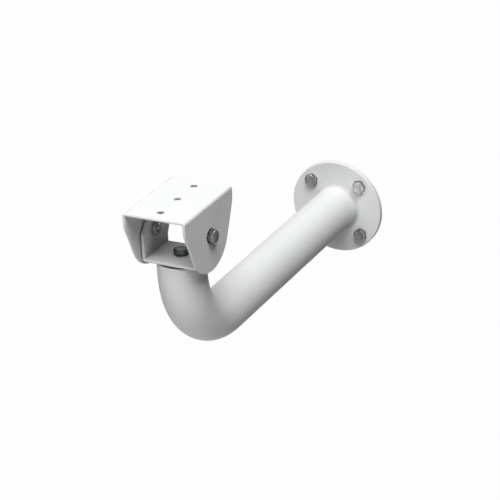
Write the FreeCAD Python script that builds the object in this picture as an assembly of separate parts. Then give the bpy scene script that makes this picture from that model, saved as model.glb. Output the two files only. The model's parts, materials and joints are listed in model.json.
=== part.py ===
import FreeCAD, Part
import math
import os

# Camera wall bracket: a round wall plate, a bent tube and a folded head that pans and tilts.
# The origin is the centre of the wall plate's back face. +Z is up, +X is to the right seen from
# the front, and the arm runs out from the wall along -Y. Millimetres and degrees.

# Wall plate
PLATE_RADIUS = 52.0
PLATE_THICK = 6.0
PLATE_EDGE_CHAMFER = 0.8
BOLT_CIRCLE_RADIUS = 40.0
WALL_HOLE_CLEARANCE = 0.5
WALL_BOLT_REACH = 10.0
WALL_SHANK_RADIUS = 3.6
WALL_BOLT_TURNS = {"upper_right": 8.0, "upper_left": 22.0, "lower_left": 0.0, "lower_right": 36.0}
WALL_BOLT_FIRST_ANGLE = 45.0

# Arm tube
TUBE_RADIUS = 24.15
TUBE_WALL = 3.2
TUBE_REACH = 350.0
TUBE_BEND_RADIUS = 75.0
TUBE_RISE = 13.0
TUBE_SET_BACK = 1.0
TUBE_FIT = 0.05
TUBE_RIM_CHAMFER = 0.6
WELD_LEG = 3.0
CAP_LAP = 1.05
CAP_THICK = 3.0
CAP_EDGE_CHAMFER = 0.4

# Hexagon bolts, nuts and washers
BOLT_RADIUS = 4.0
BOLT_TIP_CHAMFER = 1.0
HEX_SIDES = 6
HEX_ACROSS_FLATS = 13.0
HEX_CHAMFER_ANGLE = 30.0
HEAD_HIGH = 5.3
WELD_NUT_HIGH = 6.5
THIN_NUT_HIGH = 4.0
THREAD_CLEARANCE = 0.05
PIVOT_CLEARANCE = 0.25
LOCK_WASHER_RADIUS = 7.7
LOCK_WASHER_THICK = 0.8
LOCK_WASHER_TEETH = 12
LOCK_TOOTH_LENGTH = 2.2
LOCK_TOOTH_SHARE = 0.62
FRICTION_WASHER_RADIUS = 9.0
FRICTION_WASHER_THICK = 1.25
PAN_BOLT_TAIL = 5.9
PAN_BOLT_TURN = 28.0
TILT_BOLT_TAIL = 0.9
TILT_BOLT_TURN = 40.0

# Yoke, the channel that pans on the tube's end
YOKE_HALF_WIDTH = 29.5
YOKE_DEPTH = 47.0
YOKE_SHEET = 3.0
YOKE_HIGH = 43.0
YOKE_BEND_INSIDE = 1.0
YOKE_CORNER_WIDE = 13.0
YOKE_CORNER_HIGH = 14.0
YOKE_CORNER_ROUND = 1.5
PIVOT_HIGH = 27.5

# Saddle, the inverted channel that tilts and carries the camera
SADDLE_SHEET = 2.5
SADDLE_DEPTH = 96.5
SADDLE_BEND_INSIDE = 0.8
SADDLE_TOP = 32.8
EAR_RADIUS = 36.8
EAR_FLARE = 23.4
EAR_BLEND = 20.0
CAMERA_HOLE_RADIUS = 3.5
CAMERA_HOLE_SPACING = 33.0
CAMERA_HOLE_COUNT = 3
SHEET_EDGE_CHAMFER = 0.5

# Places worked out from the sizes
TUBE_TOP = TUBE_BEND_RADIUS + TUBE_RISE
HEAD_BASE = TUBE_TOP + CAP_THICK
YOKE_FLOOR = HEAD_BASE + YOKE_SHEET
PIVOT_Z = HEAD_BASE + PIVOT_HIGH
HEAD_Y = -TUBE_REACH
SADDLE_HALF_WIDTH = YOKE_HALF_WIDTH + FRICTION_WASHER_THICK + SADDLE_SHEET
BORE_RADIUS = TUBE_RADIUS - TUBE_WALL
TILT_SIDES = {"left": -1, "right": 1}

SMALL = 1e-6
ORIGIN = FreeCAD.Vector(0, 0, 0)
RIGHT = FreeCAD.Vector(1, 0, 0)
BACK = FreeCAD.Vector(0, 1, 0)
UP = FreeCAD.Vector(0, 0, 1)
NO_TURN = FreeCAD.Rotation()


def face(edges):
    return Part.Face(Part.Wire(Part.__sortEdges__(edges)))


def polygon_face(points):
    return Part.Face(Part.makePolygon(points + points[:1]))


def line(start, end):
    return Part.LineSegment(start, end).toShape()


def arc(start, middle, end):
    return Part.Arc(start, middle, end).toShape()


def on_circle(centre, radius, degrees, across, along):
    turn = math.radians(degrees)
    return centre + across * (radius * math.cos(turn)) + along * (radius * math.sin(turn))


def placed(shape, position, rotation=NO_TURN):
    shape.Placement = FreeCAD.Placement(position, rotation).multiply(shape.Placement)
    return shape


def cylinder(radius, low, high):
    return Part.makeCylinder(radius, high - low, UP * low)


def ring(inner, outer, low, high, chamfer=0.0):
    disc = cylinder(outer, low, high)
    if chamfer:
        rims = [edge for edge in disc.Edges if edge.Closed]
        disc = disc.makeChamfer(chamfer, rims)
    return disc.cut(cylinder(inner, low, high))


# Hexagon, with its corners turned down by a cone at each end that has a chamfer
def hexagon(high, ends):
    corner = HEX_ACROSS_FLATS / 2 / math.cos(math.pi / HEX_SIDES)
    points = [on_circle(ORIGIN, corner, 360 / HEX_SIDES * i, RIGHT, BACK) for i in range(HEX_SIDES)]
    prism = polygon_face(points).extrude(UP * high)
    fall = (corner - HEX_ACROSS_FLATS / 2) * math.tan(math.radians(HEX_CHAMFER_ANGLE))
    tops = {"top": (high - fall, high, corner, HEX_ACROSS_FLATS / 2),
            "bottom": (0, fall, HEX_ACROSS_FLATS / 2, corner)}
    for end in ends:
        low, top, low_radius, top_radius = tops[end]
        cone = Part.makeCone(low_radius, top_radius, top - low, UP * low)
        rest_low, rest_high = (0, low) if end == "top" else (top, high)
        envelope = cone.fuse(cylinder(corner, rest_low, rest_high))
        prism = prism.common(envelope)
    return prism


# Hexagon bolt: the head stands on z = 0. Below it hang a plain shank, as long as what the bolt
# clamps, and the threaded end, a smooth cylinder at the thread's crests.
def bolt(shank_radius, grip, threaded, turn):
    length = grip + threaded
    shank = cylinder(shank_radius, -grip, 0)
    thread = cylinder(BOLT_RADIUS, BOLT_TIP_CHAMFER - length, -grip)
    tip = Part.makeCone(BOLT_RADIUS - BOLT_TIP_CHAMFER, BOLT_RADIUS, BOLT_TIP_CHAMFER, UP * -length)
    whole = hexagon(HEAD_HIGH, ["top"]).fuse([shank, thread, tip]).removeSplitter()
    whole.rotate(ORIGIN, UP, turn)
    return whole


def nut(high):
    return hexagon(high, ["top", "bottom"]).cut(cylinder(BOLT_RADIUS + THREAD_CLEARANCE, 0, high))


def toothed_washer():
    root = LOCK_WASHER_RADIUS - LOCK_TOOTH_LENGTH
    whole = ring(BOLT_RADIUS + PIVOT_CLEARANCE, LOCK_WASHER_RADIUS, 0, LOCK_WASHER_THICK)
    step = 360 / LOCK_WASHER_TEETH
    gap = step * (1 - LOCK_TOOTH_SHARE)
    outside = LOCK_WASHER_RADIUS + LOCK_TOOTH_LENGTH
    for i in range(LOCK_WASHER_TEETH):
        start = i * step
        points = [on_circle(ORIGIN, root, start, RIGHT, BACK),
                  on_circle(ORIGIN, outside, start, RIGHT, BACK),
                  on_circle(ORIGIN, outside, start + gap, RIGHT, BACK),
                  on_circle(ORIGIN, root, start + gap, RIGHT, BACK)]
        whole = whole.cut(polygon_face(points).extrude(UP * LOCK_WASHER_THICK))
    return whole


# Round wall plate in the XZ plane, with the tube's bore and a hole for each bolt
def wall_flange():
    plate = ring(TUBE_RADIUS + TUBE_FIT, PLATE_RADIUS, 0, PLATE_THICK, PLATE_EDGE_CHAMFER)
    hole = BOLT_RADIUS + WALL_HOLE_CLEARANCE
    for x, z in wall_bolt_places().values():
        plate = plate.cut(Part.makeCylinder(hole, PLATE_THICK, FreeCAD.Vector(x, -z, 0)))
    return placed(plate, ORIGIN, FreeCAD.Rotation(RIGHT, 90))


def wall_bolt_places():
    places = {}
    for i, name in enumerate(WALL_BOLT_TURNS):
        angle = WALL_BOLT_FIRST_ANGLE + 360 / len(WALL_BOLT_TURNS) * i
        spot = on_circle(ORIGIN, BOLT_CIRCLE_RADIUS, angle, RIGHT, UP)
        places[name] = (spot.x, spot.z)
    return places


# One bent tube: a run out from the wall, a quarter turn upwards and a short upright end
def tube_body(radius):
    start = FreeCAD.Vector(0, -TUBE_SET_BACK, 0)
    bend_start = FreeCAD.Vector(0, HEAD_Y + TUBE_BEND_RADIUS, 0)
    bend_centre = bend_start + UP * TUBE_BEND_RADIUS
    bend_end = FreeCAD.Vector(0, HEAD_Y, TUBE_BEND_RADIUS)
    run = Part.makeCylinder(radius, (start - bend_start).Length, start, BACK * -1)
    disc = face([Part.makeCircle(radius, bend_start, BACK)])
    bend = disc.revolve(bend_centre, RIGHT * -1, 90)
    upright = Part.makeCylinder(radius, TUBE_RISE, bend_end, UP)
    return run, bend, upright


def arm_tube():
    run, bend, upright = tube_body(TUBE_RADIUS)
    outside = run.fuse([bend, upright])
    run, bend, upright = tube_body(BORE_RADIUS)
    tube = outside.cut([run, bend, upright]).removeSplitter()
    rims = [edge for edge in tube.Edges if edge.Closed and edge.BoundBox.ZMin > TUBE_TOP - SMALL]
    return tube.makeChamfer(TUBE_RIM_CHAMFER, rims)


# Fillet weld bead round the tube
def flange_weld():
    root = FreeCAD.Vector(TUBE_RADIUS, 0, -PLATE_THICK)
    toe = root + RIGHT * WELD_LEG
    top = root - UP * WELD_LEG
    section = polygon_face([root, toe, top])
    return placed(section.revolve(ORIGIN, UP, 360), ORIGIN, FreeCAD.Rotation(RIGHT, -90))


def tube_end_cap():
    hole = BOLT_RADIUS + PIVOT_CLEARANCE
    cap = ring(hole, BORE_RADIUS + CAP_LAP, 0, CAP_THICK, CAP_EDGE_CHAMFER)
    return placed(cap, FreeCAD.Vector(0, HEAD_Y, TUBE_TOP))


# Folded channel, open upwards, with its floor on z = 0 and its length along Y
def channel(half_width, high, sheet, bend_inside, depth):
    bend = bend_inside + sheet

    def spot(x, z):
        return FreeCAD.Vector(x, -depth / 2, z)

    def side(sign, inset):
        radius = bend - inset
        corner = FreeCAD.Vector(sign * (half_width - bend), -depth / 2, bend)
        middle = on_circle(corner, radius, -45, RIGHT * sign, UP)
        wall = spot(sign * (half_width - inset), bend)
        floor = spot(sign * (half_width - bend), inset)
        top = spot(sign * (half_width - inset), high)
        return top, wall, middle, floor

    outer_left = side(-1, 0)
    outer_right = side(1, 0)
    inner_left = side(-1, sheet)
    inner_right = side(1, sheet)
    edges = []
    for left, right in ((outer_left, outer_right), (inner_left, inner_right)):
        edges.append(line(left[0], left[1]))
        edges.append(arc(left[1], left[2], left[3]))
        edges.append(line(left[3], right[3]))
        edges.append(arc(right[3], right[2], right[1]))
        edges.append(line(right[1], right[0]))
    edges.append(line(outer_left[0], inner_left[0]))
    edges.append(line(outer_right[0], inner_right[0]))
    return face(edges).extrude(BACK * depth)


# Breaks the cut edges of a folded sheet, on both of its faces. Fold lines are smooth and stay,
# and so do the edges that cross the sheet's thickness, which lie along X.
def break_edges(shape):
    def is_cut_edge(edge):
        start, end = edge.ParameterRange
        middle = edge.valueAt((start + end) / 2)
        if edge.tangentAt((start + end) / 2).cross(RIGHT).Length < SMALL:
            return False
        normals = []
        for side in shape.ancestorsOfType(edge, Part.Face):
            u, v = side.Surface.parameter(middle)
            normals.append(side.normalAt(u, v))
        return abs(normals[0].dot(normals[1])) < SMALL

    return shape.makeChamfer(SHEET_EDGE_CHAMFER, [edge for edge in shape.Edges if is_cut_edge(edge)])


def yoke():
    body = channel(YOKE_HALF_WIDTH, YOKE_HIGH, YOKE_SHEET, YOKE_BEND_INSIDE, YOKE_DEPTH)
    half = YOKE_DEPTH / 2
    shoulder = YOKE_HIGH - YOKE_CORNER_HIGH
    outline = [(-half, 0), (half, 0), (half, shoulder), (half - YOKE_CORNER_WIDE, YOKE_HIGH),
               (YOKE_CORNER_WIDE - half, YOKE_HIGH), (-half, shoulder)]
    points = [FreeCAD.Vector(-YOKE_HALF_WIDTH, y, z) for y, z in outline]
    blank = polygon_face(points).extrude(RIGHT * (2 * YOKE_HALF_WIDTH))
    corners = [edge for edge in blank.Edges
               if abs(edge.Length - 2 * YOKE_HALF_WIDTH) < SMALL and edge.BoundBox.ZMin > SMALL]
    body = body.common(blank.makeFillet(YOKE_CORNER_ROUND, corners))
    body = break_edges(body)
    hole = BOLT_RADIUS + PIVOT_CLEARANCE
    tilt_hole = Part.makeCylinder(hole, 2 * YOKE_HALF_WIDTH,
                                  FreeCAD.Vector(-YOKE_HALF_WIDTH, 0, PIVOT_HIGH), RIGHT)
    body = body.cut([cylinder(hole, 0, YOKE_SHEET), tilt_hole])
    return placed(body, FreeCAD.Vector(0, HEAD_Y, HEAD_BASE))


# Ear outline about the tilt pivot: a round foot, straight flares, a blend and upright ends
def ear_outline(x):
    centre = FreeCAD.Vector(x, 0, 0)
    half = SADDLE_DEPTH / 2
    flare = math.radians(EAR_FLARE)
    tangent = EAR_BLEND * math.tan(flare / 2)
    corner_z = (half - EAR_RADIUS * math.cos(flare)) / math.tan(flare) - EAR_RADIUS * math.sin(flare)

    def side(sign):
        along = BACK * sign
        top = centre + along * half + UP * SADDLE_TOP
        blend_end = centre + along * half + UP * (corner_z + tangent)
        blend_centre = blend_end - along * EAR_BLEND
        blend_middle = on_circle(blend_centre, EAR_BLEND, -EAR_FLARE / 2, along, UP)
        blend_start = on_circle(blend_centre, EAR_BLEND, -EAR_FLARE, along, UP)
        foot_end = on_circle(centre, EAR_RADIUS, -EAR_FLARE, along, UP)
        return top, blend_end, blend_middle, blend_start, foot_end

    front = side(-1)
    rear = side(1)
    edges = []
    for top, blend_end, blend_middle, blend_start, foot_end in (front, rear):
        edges.append(line(top, blend_end))
        edges.append(arc(blend_end, blend_middle, blend_start))
        edges.append(line(blend_start, foot_end))
    edges.append(arc(front[4], centre - UP * EAR_RADIUS, rear[4]))
    edges.append(line(rear[0], front[0]))
    return face(edges)


def saddle():
    high = SADDLE_TOP + EAR_RADIUS
    body = channel(SADDLE_HALF_WIDTH, high, SADDLE_SHEET, SADDLE_BEND_INSIDE, SADDLE_DEPTH)
    body.rotate(ORIGIN, BACK, 180)
    body.translate(UP * SADDLE_TOP)
    body = body.common(ear_outline(-SADDLE_HALF_WIDTH).extrude(RIGHT * (2 * SADDLE_HALF_WIDTH)))
    body = break_edges(body)
    tilt_hole = Part.makeCylinder(BOLT_RADIUS + PIVOT_CLEARANCE, 2 * SADDLE_HALF_WIDTH,
                                  RIGHT * -SADDLE_HALF_WIDTH, RIGHT)
    holes = [tilt_hole]
    for i in range(CAMERA_HOLE_COUNT):
        y = (i - (CAMERA_HOLE_COUNT - 1) / 2) * CAMERA_HOLE_SPACING
        hole = cylinder(CAMERA_HOLE_RADIUS, SADDLE_TOP - SADDLE_SHEET, SADDLE_TOP)
        hole.translate(BACK * y)
        holes.append(hole)
    return placed(body.cut(holes), FreeCAD.Vector(0, HEAD_Y, PIVOT_Z))


# Bolt, nut and toothed washer along the pan axis
def pan_hardware():
    head_seat = YOKE_FLOOR + LOCK_WASHER_THICK
    grip = head_seat - TUBE_TOP
    axis = FreeCAD.Vector(0, HEAD_Y, 0)
    screw = bolt(BOLT_RADIUS, grip, WELD_NUT_HIGH + PAN_BOLT_TAIL, PAN_BOLT_TURN)
    return {"pan_bolt": placed(screw, axis + UP * head_seat),
            "pan_washer": placed(toothed_washer(), axis + UP * YOKE_FLOOR),
            "pan_weld_nut": placed(nut(WELD_NUT_HIGH), axis + UP * (TUBE_TOP - WELD_NUT_HIGH))}


# Bolts, washers and thin nuts along the tilt axis, worked out on the right and turned for the left.
# The nuts are welded to the yoke's walls, with a flat to the front.
def tilt_hardware():
    ear_face = SADDLE_HALF_WIDTH
    head_seat = ear_face + LOCK_WASHER_THICK
    wall_face = YOKE_HALF_WIDTH - YOKE_SHEET
    grip = head_seat - wall_face
    screw = bolt(BOLT_RADIUS, grip, THIN_NUT_HIGH + TILT_BOLT_TAIL, TILT_BOLT_TURN)
    friction = ring(BOLT_RADIUS + PIVOT_CLEARANCE, FRICTION_WASHER_RADIUS, 0, FRICTION_WASHER_THICK)
    stack = {"tilt_bolt": (screw, head_seat),
             "tilt_lock_washer": (toothed_washer(), ear_face),
             "tilt_friction_washer": (friction, YOKE_HALF_WIDTH),
             "tilt_nut": (nut(THIN_NUT_HIGH), wall_face - THIN_NUT_HIGH)}
    pieces = {}
    for side, sign in TILT_SIDES.items():
        outward = FreeCAD.Rotation(BACK, 90 * sign)
        for name, (shape, distance) in stack.items():
            position = FreeCAD.Vector(sign * distance, HEAD_Y, PIVOT_Z)
            pieces[name + "_" + side] = placed(shape.copy(), position, outward)
    return pieces


# Bolts of the wall plate, whose plain shanks are rolled thinner than their threads
def wall_bolts():
    pieces = {}
    for name, (x, z) in wall_bolt_places().items():
        shape = bolt(WALL_SHANK_RADIUS, PLATE_THICK, WALL_BOLT_REACH, WALL_BOLT_TURNS[name])
        seat = FreeCAD.Vector(x, -PLATE_THICK, z)
        pieces["wall_bolt_" + name] = placed(shape, seat, FreeCAD.Rotation(RIGHT, 90))
    return pieces


def all_pieces():
    pieces = {"wall_flange": wall_flange(), "arm_tube": arm_tube(), "flange_weld": flange_weld(),
              "tube_end_cap": tube_end_cap(), "yoke": yoke(), "saddle": saddle()}
    pieces.update(wall_bolts())
    pieces.update(pan_hardware())
    pieces.update(tilt_hardware())
    return pieces


os.makedirs("parts", exist_ok=True)
for node, shape in all_pieces().items():
    shape.exportStep("parts/" + node + ".step")
    box = shape.BoundBox
    print(node, shape.isValid(), len(shape.Solids), round(shape.Volume, 1),
          [round(v, 2) for v in (box.XMin, box.XMax, box.YMin, box.YMax, box.ZMin, box.ZMax)])
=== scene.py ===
# %% [markdown]
# Camera wall bracket: a lesson in dressing a finished CAD model.
#
# The bracket is a bent steel tube welded to a round wall plate. A folded head on its upper end
# pans on one bolt and tilts on two more. The CAD model already holds every piece at its real
# size, so the work here is finish, fasteners, light and camera. Lengths are in metres.
#
# Every piece of the model is a node of its own. The record says which body a node moves with and
# which finish it has, and two small tables made from it answer both questions later on.

# %% Load the bracket
import json
import math

import bmesh
import bpy
from mathutils import Matrix, Vector


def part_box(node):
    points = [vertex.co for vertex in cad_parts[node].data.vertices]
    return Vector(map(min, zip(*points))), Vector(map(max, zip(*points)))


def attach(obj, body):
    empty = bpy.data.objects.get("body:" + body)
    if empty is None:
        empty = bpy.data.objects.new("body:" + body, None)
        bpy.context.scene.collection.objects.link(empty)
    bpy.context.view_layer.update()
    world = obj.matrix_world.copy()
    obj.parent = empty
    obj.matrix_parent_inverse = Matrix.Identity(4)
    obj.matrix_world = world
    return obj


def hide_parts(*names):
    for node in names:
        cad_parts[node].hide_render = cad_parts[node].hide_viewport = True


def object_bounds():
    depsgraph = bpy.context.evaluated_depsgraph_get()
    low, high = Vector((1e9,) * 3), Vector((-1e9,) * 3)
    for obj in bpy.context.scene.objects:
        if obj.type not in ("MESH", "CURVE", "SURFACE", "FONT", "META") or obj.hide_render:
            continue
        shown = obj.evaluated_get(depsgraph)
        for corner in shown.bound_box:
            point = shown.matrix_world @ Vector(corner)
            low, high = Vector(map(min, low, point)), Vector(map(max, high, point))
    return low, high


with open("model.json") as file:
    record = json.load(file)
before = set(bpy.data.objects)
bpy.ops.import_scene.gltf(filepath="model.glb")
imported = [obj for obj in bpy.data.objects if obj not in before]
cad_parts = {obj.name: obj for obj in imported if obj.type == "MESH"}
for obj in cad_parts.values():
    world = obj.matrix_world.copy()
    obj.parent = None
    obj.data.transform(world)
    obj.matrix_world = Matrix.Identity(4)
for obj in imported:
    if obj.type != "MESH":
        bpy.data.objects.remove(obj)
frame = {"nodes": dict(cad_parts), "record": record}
cad_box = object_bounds()
nodes = frame["nodes"]
record = frame["record"]
body_of = {node: body for body, held in record["behaviour"]["bodies"].items() for node in held}
slot_of = {row["node"]: row["material_slot"] for row in record["subparts"]}

# %% [markdown]
# The camera stands in front of the bracket, to the right and above it, far enough away for a long
# lens. Its place and angles were worked out from the straight and round edges in the photograph.
# A camera looks along its own -Z, so its matrix is built from the three directions that a
# photographer would name: to the right, up, and back from the object.

# %% Camera
PHOTO_PIXELS = 500
FOCAL_PIXELS = 2370.42
SENSOR = 0.036
MILLIMETRES = 1000
CAMERA_PLACE = Vector((1.02995, -2.13182, 1.04730))
CAMERA_AZIMUTH = math.radians(28.194)
CAMERA_ELEVATION = math.radians(24.860)
CAMERA_ROLL = math.radians(-3.111)
NEAREST_SEEN = 0.1
FARTHEST_SEEN = 50


def camera_matrix(place, azimuth, elevation, roll):
    level = Vector((math.cos(azimuth), math.sin(azimuth), 0))
    back = Vector((math.sin(azimuth) * math.cos(elevation),
                   -math.cos(azimuth) * math.cos(elevation), math.sin(elevation)))
    upright = back.cross(level)
    right = level * math.cos(roll) + upright * math.sin(roll)
    up = upright * math.cos(roll) - level * math.sin(roll)
    turned = Matrix((right, up, back)).transposed().to_4x4()
    return Matrix.Translation(place) @ turned


camera_data = bpy.data.cameras.new("camera")
camera_data.sensor_width = SENSOR * MILLIMETRES
camera_data.lens = FOCAL_PIXELS / PHOTO_PIXELS * SENSOR * MILLIMETRES
camera_data.clip_start = NEAREST_SEEN
camera_data.clip_end = FARTHEST_SEEN
camera = bpy.data.objects.new("camera", camera_data)
camera.matrix_world = camera_matrix(CAMERA_PLACE, CAMERA_AZIMUTH, CAMERA_ELEVATION, CAMERA_ROLL)
bpy.context.scene.collection.objects.link(camera)
bpy.context.scene.camera = camera
bpy.context.scene.view_settings.view_transform = "Standard"
print("lens", round(camera_data.lens, 1), "mm")

# %% [markdown]
# A material is a tree of nodes, and its maths reads better as sums than as a pile of boxes. This
# small class wraps one output socket. Arithmetic on it adds Math nodes, and its node method adds
# any other node, settings first. Colours go through Mix nodes, because a Math node would turn
# them grey. Openness asks how much free space a point has around it, within a given reach: it is
# one on a bare face and falls to zero deep in a crevice.

# %% Shader maths
MIX_FACTOR, MIX_A, MIX_B, MIX_RESULT = 0, 6, 7, 2
OPENNESS_SAMPLES = 8
CREVICE_RANGE = (0.08, 0.45)


class Wire:
    def __init__(self, tree, socket):
        self.tree = tree
        self.socket = socket

    def node(self, kind, settings, sockets, out=0):
        made = self.tree.nodes.new(kind)
        for name, value in settings.items():
            setattr(made, name, value)
        for name, value in sockets.items():
            if isinstance(value, Wire):
                self.tree.links.new(value.socket, made.inputs[name])
            else:
                made.inputs[name].default_value = value
        return Wire(self.tree, made.outputs[out])

    def math(self, operation, first, second=0.0):
        return self.node("ShaderNodeMath", {"operation": operation}, {0: first, 1: second})

    def __add__(self, other):
        return self.math("ADD", self, other)

    def __rsub__(self, other):
        return self.math("SUBTRACT", other, self)

    def __mul__(self, other):
        return self.math("MULTIPLY", self, other)

    __radd__ = __add__
    __rmul__ = __mul__

    def between(self, low, high):
        sockets = {"From Min": low, "From Max": high, "Value": self}
        return self.node("ShaderNodeMapRange", {"clamp": True}, sockets)

    def mix(self, first, second):
        sockets = {MIX_FACTOR: self, MIX_A: first, MIX_B: second}
        return self.node("ShaderNodeMix", {"data_type": "RGBA"}, sockets, MIX_RESULT)

    def noise(self, scale, detail, roughness=0.5):
        sockets = {"Vector": self, "Scale": scale, "Detail": detail, "Roughness": roughness}
        return self.node("ShaderNodeTexNoise", {}, sockets)

    def stretched(self, shares):
        return self.node("ShaderNodeVectorMath", {"operation": "MULTIPLY"}, {0: self, 1: shares})

    def part(self, axis):
        return self.node("ShaderNodeSeparateXYZ", {}, {0: self}, axis)

    def facing(self, axis):
        along = self.node("ShaderNodeTexCoord", {}, {}, "Normal").part(axis)
        return along.math("ABSOLUTE", along)

    def openness(self, reach, span=CREVICE_RANGE):
        settings = {"samples": OPENNESS_SAMPLES}
        return self.node("ShaderNodeAmbientOcclusion", settings, {"Distance": reach}, "AO").between(*span)

    def bump(self, height, distance, strength):
        sockets = {"Height": height, "Distance": distance, "Strength": strength}
        return self.node("ShaderNodeBump", {}, sockets)


print("a wire can", ", ".join(name for name in vars(Wire) if not name.startswith("_")))

# %% [markdown]
# The friction washers between the ears and the yoke are the simplest surface, so they come first.
# They are pressed fibre: dull, dark and flecked. Metal would be wrong here, so this is a rough
# dielectric with a little noise in its colour and in its bump. The helpers at the top of the cell
# serve every material: one starts it from the piece's own coordinates, so that a pattern stays on
# the piece when a joint moves it, and the others wire a shader to the output.

# %% Fibre
FIBRE_DARK = (0.020, 0.020, 0.019, 1)
FIBRE_FLECK = (0.075, 0.070, 0.062, 1)
FIBRE_ROUGHNESS = 0.85
FLECKS_PER_METRE = 1800.0
FLECK_LAYERS = (1.0, 1.0, 3.0)
FLECK_RANGE = (0.5, 0.75)
FLECK_HEIGHT = 0.00005
FLECK_STRENGTH = 0.8


def new_material(name):
    material = bpy.data.materials.new(name)
    material.use_nodes = True
    tree = material.node_tree
    tree.nodes.clear()
    place = tree.nodes.new("ShaderNodeTexCoord")
    return material, Wire(tree, place.outputs["Object"])


def finish_surface(place, shader):
    out = place.tree.nodes.new("ShaderNodeOutputMaterial")
    place.tree.links.new(shader.socket, out.inputs["Surface"])


def principled(place, sockets):
    finish_surface(place, place.node("ShaderNodeBsdfPrincipled", {}, sockets))


def pressed_fibre(name):
    material, place = new_material(name)
    fleck = place.stretched(FLECK_LAYERS).noise(FLECKS_PER_METRE, detail=3.0)
    colour = fleck.between(*FLECK_RANGE).mix(FIBRE_DARK, FIBRE_FLECK)
    nap = place.bump(fleck, FLECK_HEIGHT, FLECK_STRENGTH)
    principled(place, {"Base Color": colour, "Roughness": FIBRE_ROUGHNESS, "Normal": nap})
    return material


fibre = pressed_fibre("pressed_fibre")
print("washers", fibre.name, "with", len(fibre.node_tree.nodes), "nodes")

# %% [markdown]
# The bracket is powder coated: its paint is sprayed on as dust and baked. It flows a little
# before it hardens, so it keeps a faint orange-peel ripple of a millimetre or two, and its gloss
# wanders slightly. The ripple could be modelled, but it is far too shallow to show in the
# outline, so it is bump, and the gloss is noise in the roughness. The colour drifts a little too,
# between a thick and a thin coat. The narrowest crevices are darkened in the colour: painted shade.

# %% Powder coat
COAT_THICK = (0.815, 0.824, 0.822, 1)
COAT_THIN = (0.790, 0.800, 0.798, 1)
COAT_SPECULAR = 0.12
COAT_ROUGHNESS = 0.52
ROUGHER_IN_CLOUDS = 0.08
ROUGHER_IN_DUST = 0.06
CLOUDS_PER_METRE = 22.0
CLOUD_RANGE = (0.3, 0.7)
PEEL_PER_METRE = 620.0
PEEL_HEIGHT = 0.00003
PEEL_STRENGTH = 0.7
DUST_PER_METRE = 3800.0
DUST_IN_PEEL = 0.15
CREVICE_SHADE = (0.08, 0.08, 0.078, 1)
CREVICE_REACH = 0.003


# Painted shade: the colour goes dark where a point has little open space within the reach.
def shaded_crevices(place, coat):
    return place.openness(CREVICE_REACH).mix(CREVICE_SHADE, coat)


def powder_coat(name, thick, thin, painted_shade=shaded_crevices):
    material, place = new_material(name)
    clouds = place.noise(CLOUDS_PER_METRE, detail=3.0)
    peel = place.noise(PEEL_PER_METRE, detail=2.0)
    dust = place.noise(DUST_PER_METRE, detail=1.0)
    colour = painted_shade(place, clouds.between(*CLOUD_RANGE).mix(thick, thin))
    roughness = COAT_ROUGHNESS + ROUGHER_IN_CLOUDS * clouds + ROUGHER_IN_DUST * dust
    ripple = place.bump(peel + DUST_IN_PEEL * dust, PEEL_HEIGHT, PEEL_STRENGTH)
    principled(place, {"Base Color": colour, "Roughness": roughness, "Normal": ripple,
                       "Specular IOR Level": COAT_SPECULAR})
    return material


white_coat = powder_coat("white_powder_coat", COAT_THICK, COAT_THIN)
print("paint", white_coat.name, "with", len(white_coat.node_tree.nodes), "nodes")

# %% [markdown]
# Three pieces get darker copies of the coat: painted shade. The nuts sit in the shade inside the
# head, the disc in the shaded gap under the head, and the weld bead in the crease where the tube
# meets the plate. The recipe stays the same and only its two colours change.

# %% Painted shade on the nuts, the cap and the weld
NUT_SHADE_THICK = (0.36, 0.365, 0.365, 1)
NUT_SHADE_THIN = (0.24, 0.245, 0.245, 1)
CAP_SHADE_THICK = (0.14, 0.14, 0.138, 1)
CAP_SHADE_THIN = (0.09, 0.09, 0.088, 1)
WELD_SHADE_THICK = (0.70, 0.705, 0.705, 1)
WELD_SHADE_THIN = (0.62, 0.625, 0.625, 1)

# Painted shade: darker copies of the coat for pieces that sit in shade.
nut_shade_coat = powder_coat("shaded_nut_coat", NUT_SHADE_THICK, NUT_SHADE_THIN)
cap_shade_coat = powder_coat("shaded_cap_coat", CAP_SHADE_THICK, CAP_SHADE_THIN)
weld_shade_coat = powder_coat("shaded_weld_coat", WELD_SHADE_THICK, WELD_SHADE_THIN)
print("paint", nut_shade_coat.name, cap_shade_coat.name, weld_shade_coat.name)

# %% [markdown]
# The three camera holes are punched through the top plate. Their walls sit in shade, and that
# shade is painted into the colour: light at the lip and dark at the foot. The wall is part of the
# saddle's own mesh and could get a second material. Here the paint itself finds it by its
# distance from each hole's axis, which the record gives, and the mesh stays untouched.

# %% Painted shade in the camera holes
HOLE_LIP = (0.80, 0.80, 0.80, 1)
HOLE_FOOT_SHADE = (0.05, 0.05, 0.05, 1)
HOLE_DEEP = 0.0025
LIP_FADE = 0.0002
LEVEL_ONLY = (1.0, 1.0, 0.0)
mounts = {mount["name"]: mount for mount in record["mounts"]}
middle_hole = Vector(mounts["camera_bolt_holes"]["pos_m"])
hole_dims = mounts["camera_bolt_holes"]["dims"]
hole_radius = hole_dims["hole_r_mm"] / MILLIMETRES
hole_step = Vector((0, hole_dims["spacing_y_mm"] / MILLIMETRES / 2, 0))
camera_holes = [middle_hole + hole_step * i for i in (-1, 0, 1)]


def near_axis(place, hole):
    away = place.node("ShaderNodeVectorMath", {"operation": "SUBTRACT"}, {0: place, 1: hole})
    level = away.stretched(LEVEL_ONLY)
    distance = level.node("ShaderNodeVectorMath", {"operation": "LENGTH"}, {0: level}, "Value")
    return distance.between(hole_radius + LIP_FADE, hole_radius)


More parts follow.
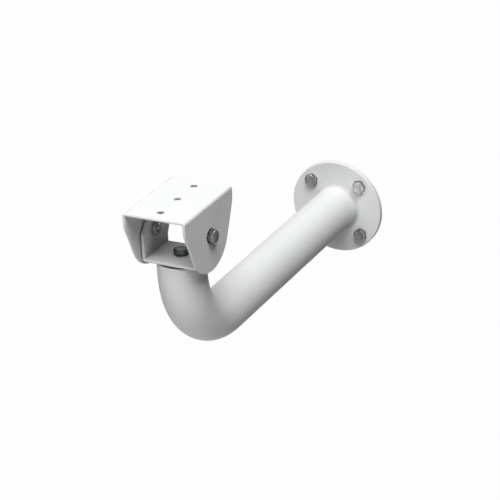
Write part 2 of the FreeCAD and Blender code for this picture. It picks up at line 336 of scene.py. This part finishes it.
# Painted shade: each hole's wall goes from the lip colour down to dark at its foot.
def shaded_holes(place, coat):
    colour = shaded_crevices(place, coat)
    for hole in camera_holes:
        wall = place.part("Z").between(hole.z - HOLE_DEEP, hole.z).mix(HOLE_FOOT_SHADE, HOLE_LIP)
        colour = near_axis(place, hole).mix(colour, wall)
    return colour


punched_coat = powder_coat("punched_powder_coat", COAT_THICK, COAT_THIN, shaded_holes)
print("paint", punched_coat.name, "round", len(camera_holes), "holes")

# %% [markdown]
# The yoke is a deep channel whose inside lies in shade. That shade is painted into the coat's
# colour, on the walls more than on the floor. Openness with a long reach finds the inside of the
# channel, and the direction that a face looks in tells a wall from the floor.

# %% Painted shade inside the yoke
CHANNEL_SHADE = (0.20, 0.205, 0.205, 1)
CHANNEL_REACH = 0.035
CHANNEL_RANGE = (0.35, 0.90)
WALL_FACE = (0.3, 0.9)
FLOOR_SHADE_SHARE = 0.35


# Painted shade: the inside of the channel is darkened in the colour, walls more than floor.
def shaded_in_channel(place, coat):
    wall = place.facing("X").between(*WALL_FACE)
    closed = 1 - place.openness(CHANNEL_REACH, CHANNEL_RANGE)
    shaded_share = closed * (FLOOR_SHADE_SHARE + (1 - FLOOR_SHADE_SHARE) * wall)
    return shaded_share.mix(coat, CHANNEL_SHADE)


channel_coat = powder_coat("channel_powder_coat", COAT_THICK, COAT_THIN, shaded_in_channel)
print("paint", channel_coat.name, "with", len(channel_coat.node_tree.nodes), "nodes")

# %% [markdown]
# The pan bolt and the toothed washers at the tilt bolts are blackened steel, dark and a little
# oily, with the black worn through to grey in spots. All metals here share one recipe: full
# metallic, so that the colour is the colour of the reflection, a roughness that says how far it
# is blurred, and a fine grain as bump.

# %% Blackened steel
BLACKENED = (0.030, 0.034, 0.034, 1)
BLACKENED_WORN = (0.150, 0.162, 0.162, 1)
BLACKENED_ROUGHNESS = 0.30
ROUGHER_IN_MOTTLE = 0.22
MOTTLE_PER_METRE = 350.0
GRAIN_PER_METRE = 2100.0
MOTTLE_SHARE = 0.7
WORN_RANGE = (0.35, 0.65)
SCRATCH_HEIGHT = 0.00002
SCRATCH_STRENGTH = 0.5


def metal_surface(place, colour, roughness, grain):
    scratches = place.bump(grain, SCRATCH_HEIGHT, SCRATCH_STRENGTH)
    principled(place, {"Base Color": colour, "Metallic": 1.0, "Roughness": roughness,
                       "Normal": scratches})


def blackened(name):
    material, place = new_material(name)
    mottle = place.noise(MOTTLE_PER_METRE, detail=4.0, roughness=0.6)
    grain = place.noise(GRAIN_PER_METRE, detail=2.0)
    wear = MOTTLE_SHARE * mottle + (1 - MOTTLE_SHARE) * grain
    colour = wear.between(*WORN_RANGE).mix(BLACKENED, BLACKENED_WORN)
    metal_surface(place, colour, BLACKENED_ROUGHNESS + ROUGHER_IN_MOTTLE * mottle, grain)
    return material


black_steel = blackened("blackened_steel")
print("metal", black_steel.name, "with", len(black_steel.node_tree.nodes), "nodes")

# %% [markdown]
# The other bolts and the washer under the pan bolt are zinc plated: bright grey metal, slightly
# milky, with streaks left by pressing and handling, and painted shade where the head meets its
# seat. A plated head has an end face, side flats and a chamfer between them. The end face and the
# flats get tones of their own, which are painted reflections, and the chamfer is smoother. The face
# that a point lies on is read from its normal along the bolt. Each head's painted reflection
# differs, so the plating comes in four tones.

# %% Zinc plate
ZINC_TINT = (1.0, 1.01, 1.005)
ZINC_ROUGHNESS = 0.28
SMOOTHER_ON_CHAMFER = 0.10
ROUGHER_ON_END = 0.20
END_FACE = (0.90, 0.97)
CHAMFER_FACE = (0.30, 0.60)
STREAKS_PER_METRE = 620.0
STREAK_STRETCH = (1.0, 0.25, 1.0)
STREAK_RANGE = (0.36, 0.60)
STREAK_TONE = 0.45
SEAT_SHADE = (0.02, 0.02, 0.02, 1)
SEAT_SHADE_REACH = 0.002


def grey(level):
    return (*(level * tint for tint in ZINC_TINT), 1)


def zinc_plate(name, end_reflection, flat_reflection):
    material, place = new_material(name)
    turned = place.facing("Z")
    end = turned.between(*END_FACE)
    chamfer = turned.between(*CHAMFER_FACE)
    streak = place.stretched(STREAK_STRETCH).noise(STREAKS_PER_METRE, detail=3.0, roughness=0.7)
    # Painted reflections: the end face and the flats each get their own tone.
    plate = end.mix(grey(flat_reflection), grey(end_reflection))
    worn = streak.between(*STREAK_RANGE).mix(grey(end_reflection * STREAK_TONE), plate)
    # Painted shade where the head meets its seat.
    colour = place.openness(SEAT_SHADE_REACH).mix(SEAT_SHADE, worn)
    roughness = ZINC_ROUGHNESS - SMOOTHER_ON_CHAMFER * chamfer + ROUGHER_ON_END * end
    metal_surface(place, colour, roughness, streak)
    return material


# Four tones: painted reflections of what each head sees.
zinc = zinc_plate("zinc_plate", end_reflection=0.27, flat_reflection=0.34)
zinc_bright_reflection = zinc_plate("zinc_plate_bright", end_reflection=0.64, flat_reflection=0.30)
zinc_dark_reflection = zinc_plate("zinc_plate_dark", end_reflection=0.19, flat_reflection=0.34)
zinc_darkest_reflection = zinc_plate("zinc_plate_darkest", end_reflection=0.065, flat_reflection=0.45)
print("metal", zinc.name, zinc_bright_reflection.name, zinc_dark_reflection.name, zinc_darkest_reflection.name)

# %% [markdown]
# Each CAD node needs a material in its slot. The record says which finish a node has, and the
# first table turns that into one of the materials above. The second table names the pieces whose
# look differs from the usual one of their slot, mostly by painted shade or painted reflections. A
# finish could be painted on piece by piece, but two tables and a loop keep it in one place.

# %% Dress the CAD pieces
finish_of = {"powder_coat": white_coat, "plated_fastener": zinc, "dark_steel": black_steel,
             "friction_washer": fibre}
# Painted shade and painted reflections, piece by piece.
own_look = {"saddle": punched_coat, "yoke": channel_coat, "tube_end_cap": cap_shade_coat,
              "flange_weld": weld_shade_coat, "tilt_nut_left": nut_shade_coat, "tilt_nut_right": nut_shade_coat,
              "pan_washer": zinc_bright_reflection, "wall_bolt_upper_right": zinc_bright_reflection,
              "wall_bolt_lower_right": zinc_dark_reflection, "tilt_bolt_left": zinc_darkest_reflection,
              "tilt_bolt_right": zinc_darkest_reflection}


def finish_for(node):
    return own_look.get(node, finish_of[slot_of[node]])


for node in slot_of:
    materials = nodes[node].data.materials
    materials.clear()
    materials.append(finish_for(node))
print("dressed", len(slot_of), "pieces,", len(own_look), "with a finish of their own")

# %% [markdown]
# Fasteners are small, but the eye knows them well, so they get meshes of their own. Each one is
# turned on a bench: its surface is a height and a radius at every angle. This helper takes such a
# list of rings and skins them. A ring is a function of the angle that gives a radius and a height.
# Faces that meet at more than the sharp angle keep a crisp edge, and the rest are shaded smooth.

# %% Rings into a mesh
SHARP_ANGLE = math.radians(32)


def circle(radius, height):
    return lambda angle: (radius, height)


def finished(name, made):
    bmesh.ops.recalc_face_normals(made, faces=made.faces)
    for face in made.faces:
        face.smooth = True
    for edge in made.edges:
        edge.smooth = len(edge.link_faces) == 2 and edge.calc_face_angle(0.0) < SHARP_ANGLE
    mesh = bpy.data.meshes.new(name)
    made.to_mesh(mesh)
    made.free()
    return mesh


def skin(name, rings, steps, closed):
    made = bmesh.new()
    rows = []
    for ring in rings:
        row = []
        for i in range(steps):
            angle = 2 * math.pi * i / steps
            radius, height = ring(angle)
            row.append(made.verts.new((radius * math.cos(angle), radius * math.sin(angle), height)))
        rows.append(row)
    for low, high in zip(rows, rows[1:]):
        for i in range(steps):
            j = (i + 1) % steps
            made.faces.new((low[i], low[j], high[j], high[i]))
    if closed:
        made.faces.new(list(reversed(rows[0])))
        made.faces.new(rows[-1])
    return finished(name, made)


print("edges sharper than", round(math.degrees(SHARP_ANGLE)), "degrees stay crisp")

# %% [markdown]
# A hexagon with softly rounded corners comes from one formula. Each flat says how far a direction
# reaches towards it, and a high power of those reaches, added up, picks the nearest flat and
# rounds the corner where two are equally near. The corner lies on the local X axis.

# %% Rounded hexagon
ACROSS_FLATS = 0.013
FLATS = 6
CORNER_POWER = 56
CHAMFER_SLOPE = math.tan(math.radians(30))
FACE_SHARE = 0.94
FACE_RADIUS = ACROSS_FLATS / 2 * FACE_SHARE


def hexagon_radius(angle):
    reach = 0.0
    for i in range(FLATS):
        towards = math.cos(angle - math.pi / FLATS * (2 * i + 1))
        reach += max(0.0, towards) ** CORNER_POWER
    return ACROSS_FLATS / 2 / reach ** (1 / CORNER_POWER)


def hexagon_ring(height, chamfer_sign, inset=0.0, drop=0.0):
    def ring(angle):
        radius = hexagon_radius(angle) - inset
        fall = max(0.0, radius - FACE_RADIUS) * CHAMFER_SLOPE + drop
        return radius, height - chamfer_sign * fall
    return ring


print("hexagon corner", round(hexagon_radius(0) * MILLIMETRES, 2), "mm, flat",
      round(hexagon_radius(math.pi / FLATS) * MILLIMETRES, 2), "mm")

# %% [markdown]
# The rolled thread is a helix: its radius swings between crest and root as the height and the
# angle go round together. The plain rings of a lathe can't hold it, but rings whose radius
# depends on the angle can, at ten rings to a turn. The tip is cut to a cone, which trims the last
# crests away.

# %% Rolled thread
BOLT_RADIUS = 0.004
PITCH = 0.00125
THREAD_DEPTH = 0.00072
FLANK_SLOPE = 2.4
ROOT_FLAT = 0.1
RINGS_PER_PITCH = 10
TIP_CHAMFER = 0.001
TIP_EDGE_INSET = 1.2
TIP_MIDDLE_SHARE = 0.4


def thread_ring(height, tip_height, crest):
    def ring(angle):
        phase = (height / PITCH - angle / (2 * math.pi)) % 1.0
        swing = min(1.0, max(0.0, FLANK_SLOPE * abs(phase - 0.5) - ROOT_FLAT))
        cone = crest - TIP_CHAMFER + (height - tip_height)
        return min(crest - THREAD_DEPTH * (1 - swing), cone), height
    return ring


def thread_rings(start, tip_height, crest):
    count = round((start - tip_height) / PITCH * RINGS_PER_PITCH)
    rings = [circle((crest - TIP_CHAMFER) * TIP_MIDDLE_SHARE, tip_height),
             circle(crest - TIP_CHAMFER * TIP_EDGE_INSET, tip_height)]
    for i in range(count + 1):
        rings.append(thread_ring(tip_height + (start - tip_height) * i / count, tip_height, crest))
    return rings


print("thread M" + str(round(2 * BOLT_RADIUS * MILLIMETRES)), "with a pitch of", PITCH * MILLIMETRES, "mm")

# %% [markdown]
# A hexagon bolt is then one stack of rings, from the tip to the top of the head: thread, plain
# shank, washer face, hexagon, chamfer and the flat top with the shallow dish that the forging
# punch leaves. Close to each edge stands a second ring, so that the edge is a small round and
# catches the light. A bevel modifier could round the edges too, but it would have to be told
# which ones.

# %% Hexagon bolt
HEAD_HIGH = 0.0053
WASHER_FACE = 0.0003
EDGE = 0.00018
DISH = 0.00016
DISH_SHARE = 0.72
DISH_SLOPE_SHARE = 0.08
DISH_MIDDLE_SHARE = 0.3
ROUND_STEPS = 96


def bolt_mesh(name, length, plain, plain_radius):
    rings = thread_rings(-plain, -length, BOLT_RADIUS)
    rings += [circle(plain_radius, -plain + EDGE), circle(plain_radius, -EDGE)]
    rings += [circle(plain_radius + EDGE, 0.0)]
    rings += [circle(FACE_RADIUS, 0.0), circle(FACE_RADIUS, WASHER_FACE)]
    rings += [hexagon_ring(WASHER_FACE, 0, inset=EDGE), hexagon_ring(WASHER_FACE + EDGE, 0)]
    rings += [hexagon_ring(HEAD_HIGH, 1, drop=EDGE), hexagon_ring(HEAD_HIGH, 1, inset=EDGE / 2)]
    rings += [circle(FACE_RADIUS + EDGE, HEAD_HIGH - EDGE / 2), circle(FACE_RADIUS - EDGE, HEAD_HIGH)]
    rings += [circle(FACE_RADIUS * DISH_SHARE, HEAD_HIGH)]
    rings += [circle(FACE_RADIUS * (DISH_SHARE - DISH_SLOPE_SHARE), HEAD_HIGH - DISH)]
    rings += [circle(FACE_RADIUS * DISH_MIDDLE_SHARE, HEAD_HIGH - DISH)]
    return skin(name, rings, ROUND_STEPS, closed=True)


print("bolt head", HEAD_HIGH * MILLIMETRES, "mm high,", ACROSS_FLATS * MILLIMETRES, "mm across flats")

# %% [markdown]
# Every fastener has to stand where the CAD one stands. The CAD box gives its middle line and both
# ends, and the CAD point that is farthest from that line is a corner of the hexagon or of a
# tooth, so the new piece can be turned to match. It then rides on the same body as the node that
# it replaces.

# %% Set a piece on its node
SAME_REACH = 1e-6
UP = Vector((0, 0, 1))
TO_THE_LEFT = Vector((-1, 0, 0))
TO_THE_RIGHT = Vector((1, 0, 0))
TO_THE_VIEWER = Vector((0, -1, 0))


def extent_along(node, axis):
    low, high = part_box(node)
    return abs((high - low).dot(axis))


def axis_frame(node, axis, seat_distance):
    low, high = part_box(node)
    seat = (low + high) / 2 + axis * (extent_along(node, axis) / 2 - seat_distance)
    corner = Vector((0, 0, 0))
    for vertex in nodes[node].data.vertices:
        away = vertex.co - seat
        away -= axis * away.dot(axis)
        if away.length > corner.length + SAME_REACH:
            corner = away
    across = corner.normalized()
    turned = Matrix((across, axis.cross(across), axis)).transposed().to_4x4()
    return Matrix.Translation(seat) @ turned


def stand_for(node, mesh, place):
    mesh.materials.append(finish_for(node))
    piece = bpy.data.objects.new(node + "_detail", mesh)
    piece.matrix_world = place
    bpy.context.scene.collection.objects.link(piece)
    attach(piece, body_of[node])
    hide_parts(node)
    print(piece.name, len(mesh.polygons), "faces on", body_of[node])


print("pan bolt", round(extent_along("pan_bolt", UP) * MILLIMETRES, 2), "mm from tip to top")

# %% [markdown]
# The wall bolts stand out of the plate towards the viewer. Their plain shank passes through the
# plate and the thread goes on into the wall. The pan bolt stands on the yoke's floor and the tilt
# bolts point outwards.

# %% Bolts
PLATE_THICK = 0.006
WALL_SHANK_RADIUS = 0.0036
PAN_SHANK = 0.0068
TILT_SHANK = 0.0075
bolt_axes = {"pan_bolt": UP, "tilt_bolt_left": TO_THE_LEFT, "tilt_bolt_right": TO_THE_RIGHT}
shanks = {"pan_bolt": (PAN_SHANK, BOLT_RADIUS), "tilt_bolt_left": (TILT_SHANK, BOLT_RADIUS),
          "tilt_bolt_right": (TILT_SHANK, BOLT_RADIUS)}
for corner in ("upper_left", "upper_right", "lower_left", "lower_right"):
    bolt_axes["wall_bolt_" + corner] = TO_THE_VIEWER
    shanks["wall_bolt_" + corner] = (PLATE_THICK, WALL_SHANK_RADIUS)

for node, axis in bolt_axes.items():
    length = extent_along(node, axis) - HEAD_HIGH
    plain, plain_radius = shanks[node]
    mesh = bolt_mesh(node + "_mesh", length, plain, plain_radius)
    stand_for(node, mesh, axis_frame(node, axis, HEAD_HIGH))
    print("length below the head", round(length * MILLIMETRES, 2), "mm")

# %% [markdown]
# A nut is the same hexagon with a chamfer at both ends and a countersunk bore. The bolt fills the
# bore, so its inner thread can't be seen and stays a plain wall. The rings run out across the
# foot, up the outside, in across the top and back down the bore, so the nut needs no lids.

# %% Nuts
BORE_RADIUS = 0.00404
COUNTERSINK = 0.00035


def nut_mesh(name, high):
    rings = [circle(BORE_RADIUS, COUNTERSINK), circle(BORE_RADIUS + COUNTERSINK, 0.0)]
    rings += [circle(FACE_RADIUS - EDGE, 0.0), circle(FACE_RADIUS + EDGE, EDGE / 2)]
    rings += [hexagon_ring(0.0, -1, inset=EDGE / 2), hexagon_ring(0.0, -1, drop=EDGE)]
    rings += [hexagon_ring(high, 1, drop=EDGE), hexagon_ring(high, 1, inset=EDGE / 2)]
    rings += [circle(FACE_RADIUS + EDGE, high - EDGE / 2), circle(FACE_RADIUS - EDGE, high)]
    rings += [circle(BORE_RADIUS + COUNTERSINK, high), circle(BORE_RADIUS, high - COUNTERSINK)]
    rings += [circle(BORE_RADIUS, COUNTERSINK)]
    return skin(name, rings, ROUND_STEPS, closed=False)


nut_axes = {"pan_weld_nut": UP, "tilt_nut_left": TO_THE_LEFT, "tilt_nut_right": TO_THE_RIGHT}
for node, axis in nut_axes.items():
    high = extent_along(node, axis)
    stand_for(node, nut_mesh(node + "_mesh", high), axis_frame(node, axis, high))
    print("height", round(high * MILLIMETRES, 2), "mm")

# %% [markdown]
# A toothed lock washer is stamped from thin spring steel, and each tooth is twisted so that its
# two edges bite. Rings can't make it, because its outline has gaps, so it starts as a sheet of
# quads. The teeth and gaps cut the circle into columns, and a point on a tooth is lifted more the
# farther it lies out along the tooth and away from its middle line.

# %% Layout of a toothed washer
TEETH = 12
TOOTH_SHARE = 0.62
WASHER_BORE = 0.00425
TOOTH_ROOT = 0.0055
TOOTH_TIP = 0.0077
TWIST = 0.000175
TWIST_BUILD = 0.7
TOOTH_COLUMNS = 6
GAP_COLUMNS = 3
TOOTH_ROWS = 4


def washer_angles():
    step = 2 * math.pi / TEETH
    angles = []
    for tooth in range(TEETH):
        for i in range(TOOTH_COLUMNS):
            angles.append(tooth * step + step * TOOTH_SHARE * i / TOOTH_COLUMNS)
        for i in range(GAP_COLUMNS):
            share = TOOTH_SHARE + (1 - TOOTH_SHARE) * i / GAP_COLUMNS
            angles.append(tooth * step + step * share)
    return angles


def twisted_point(angle, radius, side):
    out = max(0.0, (radius - TOOTH_ROOT) / (TOOTH_TIP - TOOTH_ROOT))
    return radius * math.cos(angle), radius * math.sin(angle), TWIST * side * out ** TWIST_BUILD


print("washer", TEETH, "teeth,", len(washer_angles()), "columns, twisted by",
      round(TWIST * MILLIMETRES, 3), "mm at the tip")

# %% [markdown]
# The sheet is filled in tooth by tooth, outside one plain ring round the bore. Only then does it
# get its thickness, so that both faces twist together. Solidify grows it to one side, so the
# washer is centred on its own middle height at the end.

# %% Toothed washers
SHEET = 0.00045


def add_tooth(made, root, angles):
    row = root
    for level in range(1, TOOTH_ROWS + 1):
        radius = TOOTH_ROOT + (TOOTH_TIP - TOOTH_ROOT) * level / TOOTH_ROWS
        outer = []
        for i, angle in enumerate(angles):
            outer.append(made.verts.new(twisted_point(angle, radius, 2 * i / TOOTH_COLUMNS - 1)))
        for i in range(TOOTH_COLUMNS):
            made.faces.new((row[i], row[i + 1], outer[i + 1], outer[i]))
        row = outer


def washer_mesh(name):
    made = bmesh.new()
    angles = washer_angles()
    inner = [made.verts.new(twisted_point(angle, WASHER_BORE, 0)) for angle in angles]
    root = [made.verts.new(twisted_point(angle, TOOTH_ROOT, 0)) for angle in angles]
    for i in range(len(angles)):
        j = (i + 1) % len(angles)
        made.faces.new((inner[i], inner[j], root[j], root[i]))
    for tooth in range(TEETH):
        first = tooth * (TOOTH_COLUMNS + GAP_COLUMNS)
        last = first + TOOTH_COLUMNS + 1
        add_tooth(made, root[first:last], angles[first:last])
    bmesh.ops.recalc_face_normals(made, faces=made.faces)
    bmesh.ops.solidify(made, geom=made.faces[:], thickness=SHEET)
    heights = [vertex.co.z for vertex in made.verts]
    middle = (min(heights) + max(heights)) / 2
    for vertex in made.verts:
        vertex.co.z -= middle
    return finished(name, made)


washer_axes = {"pan_washer": UP, "tilt_lock_washer_left": TO_THE_LEFT,
               "tilt_lock_washer_right": TO_THE_RIGHT}
for node, axis in washer_axes.items():
    thick = extent_along(node, axis)
    stand_for(node, washer_mesh(node + "_mesh"), axis_frame(node, axis, thick / 2))
    print("thickness", round(thick * MILLIMETRES, 2), "mm")

# %% [markdown]
# The weld bead between tube and plate was laid in short overlapping pools, which leaves a row of
# shallow crescents under the paint. It is a ring of rings: a slightly hollow fillet from the
# plate to the tube, whose surface rises and falls a tenth of a millimetre as it goes round. The
# crescents catch the light in profile, so they are shape here and not bump.

# %% Weld bead
POOLS = 84
POOL_HEIGHT = 0.00012
POOL_CURVE = 1.3
STEPS_PER_POOL = 6
BEAD_POINTS = 7
BEAD_HOLLOW = 0.0006
OUT_OF_THE_PLATE = Matrix(((1, 0, 0), (0, 0, -1), (0, 1, 0))).to_4x4()


def bead_mesh(name, tube_radius, leg):
    def ring_at(share):
        bulge = math.sin(math.pi * share)

        def ring(angle):
            pool = abs(math.sin(POOLS * angle / 2 + POOL_CURVE * bulge))
            depth = BEAD_HOLLOW * bulge - POOL_HEIGHT * pool * bulge
            return tube_radius + leg * (1 - share) - depth, leg * share - depth
        return ring

    rings = [circle(tube_radius, 0.0)] + [ring_at(i / (BEAD_POINTS - 1)) for i in range(BEAD_POINTS)]
    rings.append(circle(tube_radius, 0.0))
    return skin(name, rings, POOLS * STEPS_PER_POOL, closed=False)


low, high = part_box("flange_weld")
tube_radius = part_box("arm_tube")[1].x
leg = high.x - tube_radius
bead = bead_mesh("flange_weld_mesh", tube_radius, leg)
stand_for("flange_weld", bead, Matrix.Translation((0, high.y, 0)) @ OUT_OF_THE_PLATE)
print("weld leg", round(leg * MILLIMETRES, 2), "mm, tube radius", round(tube_radius * MILLIMETRES, 2), "mm")

# %% [markdown]
# The photograph is a cut-out on white. A floor far below the bracket is white to the camera and
# in reflections, but to all other light it is a grey paint, which throws little of it back up. A
# paler one would light the undersides and flatten the bracket's own shade. The Light Path node
# tells the kinds of ray apart.

# %% Floor
FLOOR_DROP = 1.1
FLOOR_HALF = 30.0
FLOOR_PAINT = (0.14, 0.14, 0.14, 1)
FLOOR_SEEN = 0.985
WHITE = (1, 1, 1, 1)


def seen_directly(wire):
    rays = wire.tree.nodes.new("ShaderNodeLightPath")
    camera_ray = Wire(wire.tree, rays.outputs["Is Camera Ray"])
    glossy_ray = Wire(wire.tree, rays.outputs["Is Glossy Ray"])
    through_ray = Wire(wire.tree, rays.outputs["Is Transmission Ray"])
    return wire.math("MAXIMUM", wire.math("MAXIMUM", camera_ray, glossy_ray), through_ray)


floor_mesh = bpy.data.meshes.new("floor")
floor_z = cad_box[0].z - FLOOR_DROP
corners = [(-FLOOR_HALF, -FLOOR_HALF, floor_z), (FLOOR_HALF, -FLOOR_HALF, floor_z),
           (FLOOR_HALF, FLOOR_HALF, floor_z), (-FLOOR_HALF, FLOOR_HALF, floor_z)]
floor_mesh.from_pydata(corners, [], [(0, 1, 2, 3)])
floor = bpy.data.objects.new("floor", floor_mesh)
bpy.context.scene.collection.objects.link(floor)

floor_material, floor_place = new_material("floor_paint")
painted = floor_place.node("ShaderNodeBsdfDiffuse", {}, {"Color": FLOOR_PAINT})
lit = floor_place.node("ShaderNodeEmission", {}, {"Color": WHITE, "Strength": 1.0})
share = FLOOR_SEEN * seen_directly(floor_place)
floor_look = floor_place.node("ShaderNodeMixShader", {}, {0: share, 1: painted, 2: lit})
finish_surface(floor_place, floor_look)
floor_mesh.materials.append(floor_material)
print("floor", round(floor_z, 3), "m, seen at", FLOOR_SEEN, "of white")

# %% [markdown]
# The world closes the view above the floor in the same way: white where it is seen, and very dim
# as a source of light, so that the lamps alone shape the bracket.

# %% World
AMBIENT = 0.03

world = bpy.data.worlds.new("studio")
bpy.context.scene.world = world
world.use_nodes = True
world.node_tree.nodes.clear()
sky_rays = Wire(world.node_tree, None)
level = AMBIENT + (1 - AMBIENT) * seen_directly(sky_rays)
sky = sky_rays.node("ShaderNodeBackground", {}, {"Color": WHITE, "Strength": level})
world_out = world.node_tree.nodes.new("ShaderNodeOutputWorld")
world.node_tree.links.new(sky.socket, world_out.inputs["Surface"])
print("world", world.name, "lights with", AMBIENT)

# %% [markdown]
# Five soft boxes light the bracket, as on a plain product table. The big key light hangs high on
# the right and makes the top plate almost white. The front light shows the tube and the wall
# plate, and the back light keeps the far side readable. These three are far away, so near and far
# parts of the bracket get the same light. A weak wall light shines from where the wall would be.
# The low light lifts the underside of the bend. It stands close to the bend, in front and below,
# so that it fades towards the wall and leaves the plate's lower part in shade.
#
# Each lamp is given by its direction from the bracket and by the light that it should bring to a
# sheet of paper held up to it, and its power follows from its distance.

# %% Lamps
LOOK_AT = Vector((0, -0.22, 0.06))
FAR = 4.5
NEAR = 1.8
CLOSE = 0.6


def soft_box(name, azimuth, elevation, distance, size, light):
    turn = math.radians(azimuth)
    rise = math.radians(elevation)
    towards = Vector((math.sin(turn) * math.cos(rise), -math.cos(turn) * math.cos(rise), math.sin(rise)))
    data = bpy.data.lights.new(name, "AREA")
    data.shape = "DISK"
    data.size = size
    data.energy = light * (math.pi * distance) ** 2
    lamp = bpy.data.objects.new(name, data)
    lamp.location = LOOK_AT + towards * distance
    lamp.rotation_euler = towards.to_track_quat("Z", "Y").to_euler()
    bpy.context.scene.collection.objects.link(lamp)
    print(name, round(data.energy, 1), "W")


soft_box("key_light", azimuth=40, elevation=62, distance=FAR, size=3.0, light=1.04)
soft_box("front_light", azimuth=-16, elevation=38, distance=FAR, size=2.25, light=0.25)
soft_box("low_light", azimuth=8, elevation=-34, distance=CLOSE, size=0.3, light=0.23)
soft_box("back_light", azimuth=-142, elevation=60, distance=FAR, size=3.0, light=0.19)
soft_box("wall_light", azimuth=178, elevation=-10, distance=NEAR, size=0.9, light=0.10)

# %% [markdown]
# The CAD model's box was taken once at the start, before dressing, and sets the floor's height.
